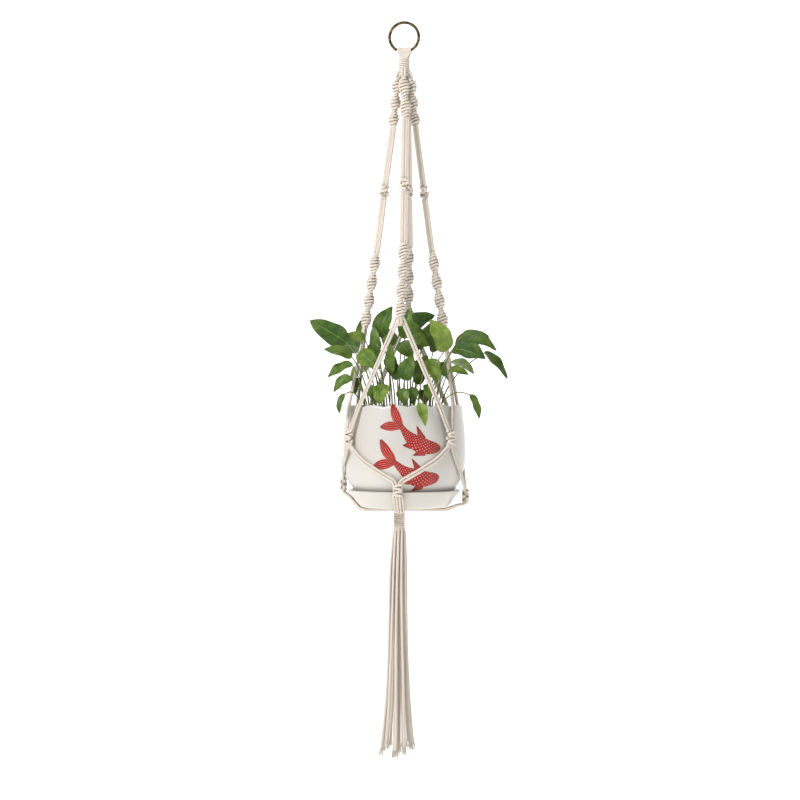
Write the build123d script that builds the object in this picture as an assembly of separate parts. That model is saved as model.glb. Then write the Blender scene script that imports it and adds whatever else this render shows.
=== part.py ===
from build123d import *
import math
import os

os.makedirs("parts", exist_ok=True)

# All sizes are in millimetres. The origin is the centre of the hanging ring, +Z is up and -Y is the front.
# An azimuth of 0 is the front, 90 is +X, 180 is the back and 270 is -X.
cord_diameter = 3.5
pair_shift = 1.95
ring_radius = 21.0
ring_bar_diameter = 4.0
loop_count = 8
loop_pitch_degrees = 6.6
top_wrap_radius = 7.8
top_wrap_span = (-27.5, -57.0)
bottom_wrap_radius = 8.2
bottom_wrap_span = (-681.0, -709.0)
bottom_wrap_x = -7.0
wrap_cone_rise = 4.3
tassel_route = [(0, 7.9, 0), (46, 10.6, -1.4), (100, 11.8, -2.0), (157, 13.4, -2.2), (209, 15.2, -2.0),
                (265, 18.0, -2.3), (315, 23.0, -3.0)]
clear = 0.4

# The four arms: azimuth of each, and the heights and radii that its centre line passes through.
arms = {"front": 0, "right": 90, "back": 180, "left": 270}
upper_twist_top = (-58.5, 8.8)
upper_twist_bottom = {"front": (-119.0, 16.5), "right": (-128.0, 16.5),
                      "back": (-119.0, 16.5), "left": (-128.0, 16.5)}
mid_knot_span = {"front": (-206, -224), "right": (-214, -232), "back": (-210, -228), "left": (-212, -230)}
mid_knot_radii = (28.0, 30.0)
lower_twist_span = {"front": (-298, -407), "right": (-309, -418), "back": (-298, -407), "left": (-309, -418)}
lower_twist_radii = (40.5, 57.0)
arm_spread = 2.1

# The net: upper knots between the arms, lower knots under them.
upper_knot_azimuth = {"front_right": 49, "back_right": 131, "back_left": 229, "front_left": 311}
upper_knot_radius = 95.2
upper_knot_span = (-563.0, -583.0)
rim_bend_azimuth = {"front": 41, "back": 41, "right": 32, "left": 32}
rim_bend = (87.2, -530.0)
lower_knot_height = {"front": -645.0, "right": -657.0, "back": -645.0, "left": -641.0}
lower_knot_radius = 88.0
lower_knot_half = 9.0
knot_waist = 4.4
knot_bulge = 6.5

# Pot and saucer profiles, each as radius and height.
pot_outer = [(54, -668.7), (62, -660), (67.5, -654), (73.5, -646), (80, -635), (86, -616), (88, -597),
             (87.2, -570), (84.8, -545), (83.2, -527)]
pot_inner = [(50, -662), (61, -652), (68.5, -642), (75, -631), (81, -614), (83, -597),
             (82.2, -570), (79.8, -545), (78.4, -527)]
saucer_profile = [(0, -673), (59.5, -673), (80, -649), (80, -648), (77.2, -648), (57.3, -669), (0, -669)]
soil_top = -546.0
scallop_count = 14
relief_height = 1.1
relief_gap = 0.05

# The foliage: base point, tip point, width, and where the stem leaves the soil.
leaf_thickness = 0.7
stem_diameter = 2.0
leaves = [
    ((-79, -27, -438), (-131, -36, -407), 35, (-38, -22)),
    ((-70, -38, -458), (-108, -52, -447), 20, (-46, -30)),
    ((-69, -47, -468), (-101, -62, -488), 22, (-52, -38)),
    ((-66, 26, -438), (-64, 34, -394), 16, (-30, 14)),
    ((-34, 2, -430), (-22, 6, -384), 32, (-17, 3)),
    ((8, 22, -412), (40, 28, -394), 27, (3, 12)),
    ((27, -8, -446), (0, -18, -408), 32, (15, -4)),
    ((62, -42, -452), (46, -48, -405), 36, (30, -26)),
    ((43, -14, -452), (43, -22, -416), 18, (32, -10)),
    ((74, -46, -448), (118, -58, -464), 36, (42, -32)),
    ((86, -34, -426), (136, -36, -447), 24, (46, -22)),
    ((116, -6, -451), (148, -12, -490), 20, (50, 12)),
    ((36, -46, -464), (54, -50, -494), 28, (24, -40)),
    ((68, -44, -478), (96, -56, -484), 16, (52, -32)),
    ((100, -62, -512), (112, -66, -546), 16, (44, -40)),
    ((-78, -62, -511), (-84, -68, -539), 14, (-50, -40)),
    ((-60, -34, -452), (-30, -50, -478), 28, (-44, -22)),
    ((-38, -26, -466), (-44, -30, -436), 30, (-22, -18)),
    ((-38, -6, -450), (-40, -8, -414), 20, (-28, -2)),
    ((-22, -60, -498), (-26, -68, -526), 26, (-14, -46)),
    ((-16, -32, -482), (-12, -40, -442), 18, (-10, -24)),
    ((4, -42, -492), (14, -52, -456), 28, (2, -34)),
    ((22, -30, -498), (32, -38, -462), 20, (14, -24)),
    ((29, -83, -524), (41, -91, -555), 16, (18, -54)),
    ((-2, -28, -438), (14, -36, -462), 26, (-6, -16)),
    ((16, -26, -428), (36, -30, -444), 22, (10, -18)),
    ((-20, -20, -458), (-8, -34, -488), 22, (-20, -4)),
    ((-42, -46, -500), (-36, -54, -522), 15, (-34, -40)),
    ((36, -52, -498), (44, -64, -520), 16, (30, -42)),
    ((-54, -14, -432), (-84, -20, -426), 18, (-34, -10)),
    ((48, 4, -468), (68, 10, -492), 22, (34, 14)),
    ((-76, -2, -488), (-104, 2, -506), 22, (-52, 2)),
    ((70, 47, -440), (118, 64, -430), 34, (34, 24)),
    ((62, 58, -464), (98, 88, -478), 24, (42, 38)),
    ((-68, 50, -446), (-112, 68, -436), 34, (-34, 26)),
    ((-60, 58, -470), (-88, 88, -492), 24, (-44, 40)),
    ((24, 30, -440), (44, 46, -406), 28, (12, 22)),
    ((-20, 30, -442), (-44, 44, -412), 28, (-10, 22)),
    ((10, 42, -484), (30, 54, -456), 26, (6, 34)),
    ((-12, 44, -488), (-34, 52, -462), 24, (-8, 36)),
    ((20, 54, -505), (26, 64, -526), 20, (14, 48)),
    ((0, 4, -432), (4, 8, -388), 24, (0, 2)),
    ((2, -54, -504), (7, -61, -528), 20, (6, -46)),
    ((16, -44, -502), (20, -52, -526), 17, (12, -38)),
    ((-62, -24, -488), (-70, -30, -512), 18, (-54, -14)),
]


def polar(radius, azimuth, height):
    turn = math.radians(azimuth)
    return Vector(radius * math.sin(turn), -radius * math.cos(turn), height)


def rod(start, end, diameter):
    """A plain round rod between two points."""
    return Plane(origin=start, z_dir=end - start) * Cylinder(
        diameter / 2, (end - start).length, align=(Align.CENTER, Align.CENTER, Align.MIN))


def tube(points, bend):
    """A round cord along straight runs joined by tangent arcs."""
    path = FilletPolyline(*points, radius=bend)
    return sweep(Plane(origin=path @ 0, z_dir=path % 0) * Circle(cord_diameter / 2), path=path)


def lobed_bar(start, end, count, waist, bulge):
    """A bar of rounded lobes, as a knotted run of cord stands out from its core."""
    length = (end - start).length
    step = length / count
    edges = [Line((0, 0), (waist, 0))]
    for lobe in range(count):
        edges.append(ThreePointArc(
            (waist, lobe * step), (bulge, (lobe + 0.5) * step), (waist, (lobe + 1) * step)))
    edges.append(Line((waist, length), (0, length)))
    edges.append(Line((0, length), (0, 0)))
    profile = make_face(Curve() + edges)
    return Plane(origin=start, z_dir=end - start) * revolve(Plane.XZ * profile, Axis.Z)


def beside(points, shift):
    """The same run of points moved sideways along the surface that faces outwards."""
    moved = []
    for index, point in enumerate(points):
        before = points[max(index - 1, 0)]
        after = points[min(index + 1, len(points) - 1)]
        along = (after - before).normalized()
        outward = Vector(point.X, point.Y, 0).normalized()
        moved.append(point + along.cross(outward).normalized() * shift)
    return moved


def radius_at(profile, height):
    """The outer radius of a turned profile at a height."""
    for (low_radius, low), (high_radius, high) in zip(profile, profile[1:]):
        if low <= height <= high:
            return low_radius + (high_radius - low_radius) * (height - low) / (high - low)
    return profile[-1][0]


def turned(profile, shift=0.0):
    """A solid of revolution under a smooth curve through the profile."""
    points = [(radius + shift, height) for radius, height in profile]
    bottom = points[0][1]
    top = points[-1][1]
    outline = [Spline(*points), Line(points[-1], (0, top)), Line((0, top), (0, bottom)),
               Line((0, bottom), points[0])]
    return revolve(Plane.XZ * make_face(Curve() + outline), Axis.Z)


def save(solids, name):
    """One STEP file for each named node."""
    shape = solids if not isinstance(solids, list) else Compound(children=solids)
    shape.label = name
    export_step(shape, f"parts/{name}.step")


# The metal ring and the cord loops folded over it.
ring = Plane.XZ * Torus(ring_radius, ring_bar_diameter / 2)
save(ring, "ring")

loop_radius = ring_bar_diameter / 2 + 0.3 + cord_diameter / 2
loop_section = Plane.XY * Location((loop_radius, 0)) * Ellipse(cord_diameter / 2, cord_diameter / 2 * 0.5)
loop = revolve(loop_section, Axis.Y)
loops = []
for index in range(loop_count):
    turn = (index - (loop_count - 1) / 2) * loop_pitch_degrees
    x = ring_radius * math.sin(math.radians(turn))
    z = -ring_radius * math.cos(math.radians(turn))
    loops.append(Location((x, 0, z), (0, 90 - turn, 0)) * Location((0, 0, 0), (90, 0, 0)) * loop)
save(loops, "ring_loops")

save(lobed_bar(Vector(0, 0, top_wrap_span[1]), Vector(0, 0, top_wrap_span[0]), 1, top_wrap_radius - 0.8,
               top_wrap_radius), "top_wrap")

# The four arms: twist, strands, middle knot, strands, twist.
split_points = {}
for name, azimuth in arms.items():
    high = polar(upper_twist_top[1], azimuth, upper_twist_top[0])
    low = polar(upper_twist_bottom[name][1], azimuth, upper_twist_bottom[name][0])
    lobes = 2 if name in ("front", "back") else 3
    bulge = 6.4 if name in ("front", "back") else 6.2
    save(lobed_bar(low, high, lobes, 4.2, bulge), f"{name}_upper_twist")

    mid_high = polar(mid_knot_radii[0], azimuth, mid_knot_span[name][0])
    mid_low = polar(mid_knot_radii[1], azimuth, mid_knot_span[name][1])
    save(lobed_bar(mid_low, mid_high, 1, 4.8, 6.8), f"{name}_mid_knot")

    twist_high = polar(lower_twist_radii[0], azimuth, lower_twist_span[name][0])
    twist_low = polar(lower_twist_radii[1], azimuth, lower_twist_span[name][1])
    save(lobed_bar(twist_low, twist_high, 4, 4.2, 6.8), f"{name}_lower_twist")
    split_points[name] = twist_low

    strands = []
    for top, bottom in ((low, mid_high), (mid_low, twist_high)):
        along = (bottom - top).normalized()
        outward = polar(1, azimuth, 0)
        sideways = along.cross(outward).normalized()
        deep = sideways.cross(along)
        for side in (-1, 1):
            for depth in (-1, 1):
                off = sideways * side * arm_spread + deep * depth * arm_spread
                strands.append(rod(top + along * clear + off, bottom - along * clear + off, cord_diameter))
    save(strands, f"{name}_strands")

# The upper legs: two pairs from each arm, over the rim, to the upper knots.
neighbours = {"front": ("front_left", "front_right"), "right": ("front_right", "back_right"),
              "back": ("back_right", "back_left"), "left": ("back_left", "front_left")}
for name, azimuth in arms.items():
    legs = []
    split = split_points[name]
    split_radius = math.hypot(split.X, split.Y)
    for side, knot in zip((-1, 1), neighbours[name]):
        knot_azimuth = upper_knot_azimuth[knot]
        points = [
            polar(split_radius, azimuth + side * 4.2, split.Z - 1.2),
            polar(rim_bend[0], azimuth + side * rim_bend_azimuth[name], rim_bend[1]),
            polar(upper_knot_radius, knot_azimuth - side * 2.5, upper_knot_span[0] + 1.0),
        ]
        for shift in (-pair_shift, pair_shift):
            legs.append(tube(beside(points, shift), 30))
    save(legs, f"{name}_upper_legs")

for name, azimuth in upper_knot_azimuth.items():
    save(lobed_bar(polar(upper_knot_radius, azimuth, upper_knot_span[1]),
                   polar(upper_knot_radius, azimuth, upper_knot_span[0]), 1, knot_waist, knot_bulge),
         f"{name}_knot")

# The lower legs: round the belly of the pot to the knot under each arm.
for name, azimuth in arms.items():
    legs = []
    knot_height = lower_knot_height[name]
    for side, knot in zip((-1, 1), neighbours[name]):
        start_azimuth = upper_knot_azimuth[knot] - side * 2.5
        span = (start_azimuth - azimuth) * side % 360
        end_height = knot_height + lower_knot_half + 4
        points = [polar(upper_knot_radius, start_azimuth, upper_knot_span[1] - 1.8)]
        for share in (0.78, 0.52, 0.27, 4.4 / span):
            fall = (1 - share) / (1 - 4.4 / span)
            height = -590 + (end_height + 590) * fall ** 0.9
            radius = radius_at(pot_outer, height) + cord_diameter / 2 + relief_height + 2.0
            radius = max(radius, 84.5 + 3.0 * fall) if share < 0.3 else radius
            points.append(polar(radius, azimuth + side * span * share, height))
        for shift in (-pair_shift, pair_shift):
            legs.append(tube(beside(points, shift), 14))
    save(legs, f"{name}_lower_legs")
    save(lobed_bar(polar(lower_knot_radius, azimuth, knot_height - lower_knot_half),
                   polar(lower_knot_radius, azimuth, knot_height + lower_knot_half), 1, knot_waist, knot_bulge),
         f"{name}_low_knot")

# The strands that run under the saucer and gather into the bottom wrap.
gather = []
for name, azimuth in arms.items():
    for index in range(4):
        offset = (index - 1.5) * 3.9
        knot_bottom = lower_knot_height[name] - lower_knot_half - 2.1
        outer = lower_knot_radius - 1
        start = polar(outer, azimuth + math.degrees(offset / outer), knot_bottom)
        corner = polar(62.6, azimuth + math.degrees(offset / 62.6), -676.0)
        centre = polar(10.6, azimuth + (index - 1.5) * 22.5, -676.2) + Vector(bottom_wrap_x, 0, 0)
        gather.append(tube([start, corner, centre], 7))
save(gather, "gather_strands")

# The wrap's underside is a shallow cone, so that the tassel can swing beneath it.
wrap_outline = [(0, bottom_wrap_span[1]), (bottom_wrap_radius, bottom_wrap_span[1] + wrap_cone_rise),
                (bottom_wrap_radius, bottom_wrap_span[0]), (0, bottom_wrap_span[0])]
wrap_turned = revolve(Plane.XZ * make_face(Polyline(*wrap_outline, close=True)), Axis.Z)
save(Pos(bottom_wrap_x, 0, 0) * wrap_turned, "bottom_wrap")

# The tassel: sixteen free cords, each in a node of its own.
number = 0
for count, spread in ((1, 0.0), (5, 0.5), (10, 1.0)):
    for index in range(count):
        number += 1
        azimuth = 360 * index / count + 10 * count
        points = []
        for step, (drop, radius, lean) in enumerate(tassel_route):
            sway = 0.7 * math.sin(number * 1.9 + step * 1.1) if step else 0
            stretch = 1 + 0.02 * math.sin(number * 2.3) if step == len(tassel_route) - 1 else 1
            point = polar(radius * spread, azimuth, bottom_wrap_span[1] - clear - drop * stretch)
            points.append(point + Vector(bottom_wrap_x + lean + sway, sway * math.cos(number), 0))
        radii = []
        for before, corner, after in zip(points, points[1:], points[2:]):
            shorter = min((corner - before).length, (after - corner).length)
            turn = math.radians((corner - before).get_angle(after - corner))
            radii.append(0.45 * shorter / math.tan(turn / 2))
        print(f"tassel cord {number}: bend radii", [round(radius) for radius in radii])
        save(tube(points, radii), f"tassel_cord_{number:02d}")

# Saucer, pot, soil and the raised fish on the pot.
save(revolve(Plane.XZ * make_face(Polyline(*saucer_profile, close=True)), Axis.Z), "saucer")

pot = turned(pot_outer) - turned(pot_inner + [(78.4, -520)])
for index in range(scallop_count):
    azimuth = 360 * (index + 0.5) / scallop_count
    centre = polar(60, azimuth, pot_outer[-1][1] + 19.0)
    pot -= Plane(origin=centre, z_dir=polar(1, azimuth, 0)) * Cylinder(
        22, 40, align=(Align.CENTER, Align.CENTER, Align.MIN))
save(pot, "pot")

soil_profile = [(radius - 0.3, height + 0.3) for radius, height in pot_inner if height < soil_top]
soil_profile.append((radius_at(pot_inner, soil_top) - 0.3, soil_top))
soil = turned(soil_profile)

skin = turned(pot_outer, relief_height) - turned(pot_outer, relief_gap)


def fish(x, z, length, turn):
    """A plain raised fish: an oval body, a forked tail and two fins."""
    body = Ellipse(length * 0.36, length * 0.16)
    tail = make_face(Polyline((-length * 0.28, 0), (-length * 0.62, length * 0.2), (-length * 0.5, 0),
                              (-length * 0.62, -length * 0.2), close=True))
    fin = make_face(Polyline((-length * 0.05, length * 0.1), (-length * 0.12, length * 0.26),
                             (length * 0.12, length * 0.12), close=True))
    low_fin = make_face(Polyline((0, -length * 0.1), (-length * 0.08, -length * 0.24),
                                 (length * 0.14, -length * 0.1), close=True))
    outline = Plane(origin=(x, -120, z), x_dir=(1, 0, 0), z_dir=(0, -1, 0)) * Rot(0, 0, turn) * (
        body + tail + fin + low_fin)
    return extrude(outline, amount=-100) & skin


save([fish(26, -573, 78, -28), fish(22, -620, 86, -18)], "fish_relief")


def stem_points(base, tip, root):
    start = Vector(root[0], root[1], soil_top + 1.2)
    end = Vector(*base) - (Vector(*tip) - Vector(*base)).normalized() * 2.0
    middle = start + (end - start) * 0.5
    lean = 0.24 if base[2] > -500 else 0.05
    middle = Vector(middle.X - (end.X - start.X) * lean, middle.Y - (end.Y - start.Y) * lean, middle.Z)
    lift = 6 if base[2] > -500 else 17
    return start, middle + Vector(0, 0, lift), end


stems = []
blades = []
for base, tip, width, root in leaves:
    start, middle, end = stem_points(base, tip, root)
    arc = ThreePointArc(start, middle, end)
    stems.append(sweep(Plane(origin=arc @ 0, z_dir=arc % 0) * Circle(stem_diameter / 2), path=arc))
    along = Vector(*tip) - Vector(*base)
    length = along.length
    face = Vector(0.6 * base[0], -70 if base[1] < 20 else 60, 35)
    outline = [(0, 0), (0.1 * length, 0.33 * width), (0.36 * length, 0.5 * width),
               (0.75 * length, 0.27 * width), (length, 0)]
    mirrored = [(x, -y) for x, y in outline]
    blade = make_face(Curve() + [Spline(*outline), Spline(*mirrored)])
    blade = extrude(blade, amount=leaf_thickness / 2, both=True)
    normal = face - along.normalized() * face.dot(along.normalized())
    blades.append(Plane(origin=base, x_dir=along, z_dir=normal) * blade)
save(soil, "soil")
save(stems, "stems")
save(blades, "leaves")
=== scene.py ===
import math
import bpy
import numpy as np
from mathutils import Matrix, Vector


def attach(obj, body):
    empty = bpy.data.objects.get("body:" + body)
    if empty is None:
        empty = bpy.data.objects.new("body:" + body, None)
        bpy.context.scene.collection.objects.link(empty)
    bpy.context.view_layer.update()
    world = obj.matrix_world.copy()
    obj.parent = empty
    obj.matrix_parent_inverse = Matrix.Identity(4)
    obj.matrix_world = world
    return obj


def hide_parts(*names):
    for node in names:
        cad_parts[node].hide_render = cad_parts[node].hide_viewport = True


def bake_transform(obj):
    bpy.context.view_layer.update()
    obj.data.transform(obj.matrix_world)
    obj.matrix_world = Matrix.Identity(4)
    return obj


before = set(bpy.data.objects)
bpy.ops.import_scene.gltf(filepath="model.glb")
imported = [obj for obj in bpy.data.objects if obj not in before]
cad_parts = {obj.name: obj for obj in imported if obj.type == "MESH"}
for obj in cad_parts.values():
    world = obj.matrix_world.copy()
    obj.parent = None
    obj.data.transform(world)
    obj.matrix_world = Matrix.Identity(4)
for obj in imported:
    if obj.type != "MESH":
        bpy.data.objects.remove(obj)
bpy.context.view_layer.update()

mm = 0.001
rng = np.random.default_rng(11)


# shader wrapper
def mathNode(operation):  # a method that joins a wire and its arguments in one Math node
    def method(wire, *others):
        return wire.paint.node("ShaderNodeMath", {"operation": operation}, dict(enumerate((wire, *others))))
    return method


class Wire:  # a socket that can be added, multiplied and so on
    __add__ = mathNode("ADD")
    __sub__ = mathNode("SUBTRACT")
    __mul__ = mathNode("MULTIPLY")
    __pow__ = mathNode("POWER")
    __abs__ = mathNode("ABSOLUTE")
    sine = mathNode("SINE")
    atLeast = mathNode("MAXIMUM")
    atMost = mathNode("MINIMUM")

    def __init__(self, paint, socket):
        self.paint = paint
        self.socket = socket

    def __rsub__(self, number):
        return self.paint.node("ShaderNodeMath", {"operation": "SUBTRACT"}, {0: number, 1: self})

    def clamped(self):
        return self.atLeast(0.0).atMost(1.0)

    def between(self, low, high):  # 0 below low, 1 above high, straight between
        span = {"Value": self, "From Min": low, "From Max": high}
        return self.paint.node("ShaderNodeMapRange", {"clamp": True}, span)


class Paint:  # one material, whose finish is set on the shader's own sockets
    def __init__(self, name, constants):
        self.material = bpy.data.materials.new(name)
        self.material.use_nodes = True
        self.tree = self.material.node_tree
        self.tree.nodes.clear()
        self.shader = self.tree.nodes.new("ShaderNodeBsdfPrincipled")
        output = self.tree.nodes.new("ShaderNodeOutputMaterial")
        self.tree.links.new(self.shader.outputs[0], output.inputs[0])
        for key, value in constants.items():
            self.shader.inputs[key].default_value = value

    def give(self, socket, value):  # a wire is linked to the socket; anything else becomes its constant
        if isinstance(value, Wire):
            self.tree.links.new(value.socket, socket)
        else:
            socket.default_value = value

    def node(self, kind, settings=None, inputs=None, output=0):
        made = self.tree.nodes.new(kind)
        for key, value in (settings or {}).items():
            setattr(made, key, value)
        for key, value in (inputs or {}).items():
            self.give(made.inputs[key], value)
        return Wire(self, made.outputs[output])

    def place(self):  # object coordinates
        return self.node("ShaderNodeTexCoord", output=3)

    def uv(self, scale=(1, 1, 1)):
        coords = self.node("ShaderNodeTexCoord", output=2)
        return self.node("ShaderNodeMapping", {}, {"Vector": coords, "Scale": scale})

    def uvParts(self):  # across and along, each a value of its own
        return [self.node("ShaderNodeSeparateXYZ", {}, {"Vector": self.uv()}, axis) for axis in (0, 1)]

    def attribute(self, name):
        return self.node("ShaderNodeAttribute", {"attribute_name": name}, output=2)

    def noise(self, scale, detail=3.0, rough=0.5, vector=None):
        inputs = {"Vector": vector or self.place(), "Scale": scale, "Detail": detail, "Roughness": rough}
        return self.node("ShaderNodeTexNoise", {}, inputs)

    def mix(self, factor, first, second):
        made = self.tree.nodes.new("ShaderNodeMix")
        made.data_type = "RGBA"
        for place, value in ((0, factor), (6, first), (7, second)):
            self.give(made.inputs[place], (*value, 1) if isinstance(value, tuple) else value)
        return Wire(self, made.outputs[2])

    def feed(self, socketName, wire):
        self.give(self.shader.inputs[socketName], wire)

    def bump(self, height, distance, strength=1.0):
        inputs = {"Height": height, "Distance": distance, "Strength": strength}
        self.feed("Normal", self.node("ShaderNodeBump", {}, inputs))


# materials
# the dark brown colour is painted shade, laid into the ply grooves and the hollows inside knots
cottonLook = {"light": (0.92, 0.87, 0.80), "paintedShade": (0.34, 0.22, 0.14), "warm": (0.82, 0.74, 0.65),
              "fibres": (46.0, 5.0, 1)}


def cottonPaint():
    paint = Paint("cottonCord", {"Roughness": 0.88, "Sheen Weight": 0.12, "Sheen Roughness": 0.5,
                                 "Specular IOR Level": 0.25})
    paintedShade = paint.attribute("paintedShade")
    drift = paint.noise(38.0, 3.0, 0.6)
    fibre = paint.noise(1.0, 4.0, 0.65, paint.uv(cottonLook["fibres"]))
    speck = paint.noise(900.0, 2.0)
    base = paint.mix(drift.between(0.35, 0.75), cottonLook["light"], cottonLook["warm"])
    # painted shade: where the point attribute is high, in ply grooves and on cord sides deep in a knot, the
    # colour darkens to brown
    base = paint.mix((paintedShade.between(0.15, 0.95) ** 1.3) * 0.95, base, cottonLook["paintedShade"])
    base = paint.mix(fibre.between(0.25, 0.6) * 0.35, cottonLook["warm"], base)
    paint.feed("Base Color", paint.mix(0.86, cottonLook["warm"], base))
    paint.bump(fibre * 0.8 + speck * 0.35, 0.0006)
    return paint.material


bronzeLook = {"dark": (0.030, 0.020, 0.011), "bright": (0.26, 0.175, 0.075)}


def bronzePaint():
    paint = Paint("antiqueBronze", {"Metallic": 1.0, "Coat Weight": 0.1})
    broad = paint.noise(220.0, 4.0, 0.6)
    fine = paint.noise(1500.0, 3.0, 0.6)
    worn = (broad * 0.7 + fine * 0.3).between(0.42, 0.62)
    paint.feed("Base Color", paint.mix(worn, bronzeLook["dark"], bronzeLook["bright"]))
    paint.feed("Roughness", 0.55 - worn * 0.2)
    paint.bump(broad + fine * 0.4, 0.0003)
    return paint.material


glazeLook = {"cream": (0.60, 0.57, 0.525), "cool": (0.56, 0.545, 0.515), "speck": (0.44, 0.39, 0.33),
             "warm": (0.60, 0.535, 0.45)}


def glazePaint(name, warmth):
    paint = Paint(name, {"Coat Weight": 0.35, "Coat Roughness": 0.18, "Specular IOR Level": 0.45})
    cloud = paint.noise(14.0)
    specks = paint.noise(620.0, 2.0)
    base = paint.mix(cloud.between(0.3, 0.7), glazeLook["cool"], glazeLook["cream"])
    base = paint.mix(specks.between(0.68, 0.8) * 0.3, base, glazeLook["speck"])
    paint.feed("Base Color", paint.mix(warmth, base, glazeLook["warm"]))
    paint.feed("Roughness", cloud * 0.18 + 0.24)
    paint.bump(cloud + specks * 0.05, 0.0008, 0.6)
    return paint.material


fishLook = {"red": (0.36, 0.003, 0.002), "bright": (0.58, 0.010, 0.006), "edge": (0.92, 0.64, 0.55),
            "rows": 38.0, "columns": 30.0, "rays": 62.0}


def fishPaint():
    paint = Paint("redFishGlaze", {"Coat Weight": 0.08, "Coat Roughness": 0.2, "Specular IOR Level": 0.3})
    part = paint.attribute("tailPart")
    wide = paint.attribute("across")
    around, along = paint.uvParts()
    # two crossing sets of waves leave a net of diamonds, which reads as scales; fins get rays along them
    rising = abs((along * fishLook["rows"] + around * fishLook["columns"]).sine())
    falling = abs((along * fishLook["rows"] - around * fishLook["columns"]).sine())
    scaleEdge = ((1 - rising) * (1 - falling)).between(0.10, 0.38)
    ray = (around * fishLook["rays"]).sine()
    lines = paint.mix(part, paint.mix(scaleEdge * 0.85, fishLook["bright"], fishLook["edge"]),
                      paint.mix(ray.between(0.5, 0.95) * 0.55, fishLook["bright"], fishLook["edge"]))
    shade = paint.noise(60.0, 3.0, 0.6)
    body = paint.mix(shade.between(0.35, 0.7) * 0.5, lines, fishLook["red"])
    paint.feed("Base Color", paint.mix(wide.between(0.90, 1.0) * 0.2, body, fishLook["edge"]))
    paint.feed("Roughness", shade * 0.2 + 0.25)
    paint.bump((1 - part) * (rising * falling).between(0.0, 0.5) + part * ray * 0.4, 0.002)
    return paint.material


soilLook = {"dark": (0.018, 0.012, 0.008), "light": (0.085, 0.055, 0.034)}


def soilPaint():
    paint = Paint("pottingSoil", {"Roughness": 0.95, "Specular IOR Level": 0.2})
    crumbs = paint.noise(300.0, 5.0, 0.7)
    chips = paint.node("ShaderNodeTexVoronoi", {}, {"Vector": paint.place(), "Scale": 240.0})
    mottle = (crumbs * 0.7 + chips * 0.4).between(0.35, 0.75)
    paint.feed("Base Color", paint.mix(mottle, soilLook["dark"], soilLook["light"]))
    paint.bump(crumbs + chips * 0.6, 0.003)
    return paint.material


leafLook = {"deep": (0.010, 0.056, 0.008), "fresh": (0.12, 0.225, 0.012), "pale": (0.36, 0.46, 0.09),
            "vein": (0.20, 0.31, 0.05), "veins": 62.0, "slant": 16.0}


def leafPaint():
    paint = Paint("leafGreen", {"Coat Weight": 0.08, "Coat Roughness": 0.25, "Specular IOR Level": 0.32})
    tone = paint.attribute("tone")
    middle, along = paint.uvParts()
    across = abs(middle - 0.5) * 2.0
    rib = 1 - across.between(0.01, 0.06)
    side = (along * leafLook["veins"] - across * leafLook["slant"]).sine().between(0.86, 1.0)
    side = side * (1 - across.between(0.7, 1.0))
    blotch = paint.noise(90.0, 4.0, 0.6)
    fine = paint.noise(700.0, 3.0, 0.6)
    mature = paint.mix(blotch.between(0.35, 0.7) * 0.5, leafLook["deep"], leafLook["fresh"])
    young = paint.mix(blotch.between(0.3, 0.65), leafLook["fresh"], leafLook["pale"])
    base = paint.mix((tone + fine * 0.12 - 0.06).clamped(), mature, young)
    paint.feed("Base Color", paint.mix((rib * 0.75 + side * 0.25).clamped(), base, leafLook["vein"]))
    paint.feed("Roughness", blotch * 0.25 + 0.30)
    paint.bump(fine * 0.35 - side * 0.6 - rib * 0.8, 0.0006)
    return paint.material


stemLook = {"green": (0.15, 0.25, 0.04), "brown": (0.16, 0.11, 0.04)}


def stemPaint():
    paint = Paint("stemGreen", {"Roughness": 0.45, "Coat Weight": 0.1})
    streak = paint.noise(1.0, 3.0, 0.5, paint.uv((3.0, 40.0, 1)))
    spots = paint.noise(160.0, 3.0, 0.6)
    age = (spots * 0.7 + streak * 0.3).between(0.4, 0.75)
    paint.feed("Base Color", paint.mix(age, stemLook["green"], stemLook["brown"]))
    paint.bump(streak, 0.0003)
    return paint.material


def stagePaint():
    paint = Paint("paleBackdrop", {"Roughness": 0.9, "Specular IOR Level": 0.1, "Emission Strength": 0.55,
                                   "Emission Color": (1, 1, 1, 1)})
    paint.feed("Base Color", paint.mix(paint.noise(2.0, 2.0), (0.92, 0.92, 0.92), (0.94, 0.94, 0.94)))
    return paint.material


paints = {"cotton": cottonPaint(), "bronze": bronzePaint(), "pot": glazePaint("creamGlaze", 0.0),
          "saucer": glazePaint("warmCreamGlaze", 0.28), "fish": fishPaint(), "soil": soilPaint(),
          "leaf": leafPaint(), "stem": stemPaint(), "stage": stagePaint()}
print("materials made")


# surfaces
def polar(radius, azimuth, height):  # millimetres and degrees to metres; azimuth 0 is the front, 90 is +X
    turn = np.radians(azimuth)
    return np.stack(np.broadcast_arrays(radius * np.sin(turn), -radius * np.cos(turn), height), -1) * mm


def unit(vectors):
    return vectors / np.maximum(np.linalg.norm(vectors, axis=-1, keepdims=True), 1e-12)


def lengthAlong(path):
    return np.r_[0, np.cumsum(np.linalg.norm(np.diff(path, axis=0), axis=1))]


def resample(path, step):  # the same line with points a step apart
    lengths = lengthAlong(path)
    places = np.linspace(0, lengths[-1], max(int(lengths[-1] / step), 4) + 1)
    return np.stack([np.interp(places, lengths, path[:, axis]) for axis in range(3)], -1)


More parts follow.
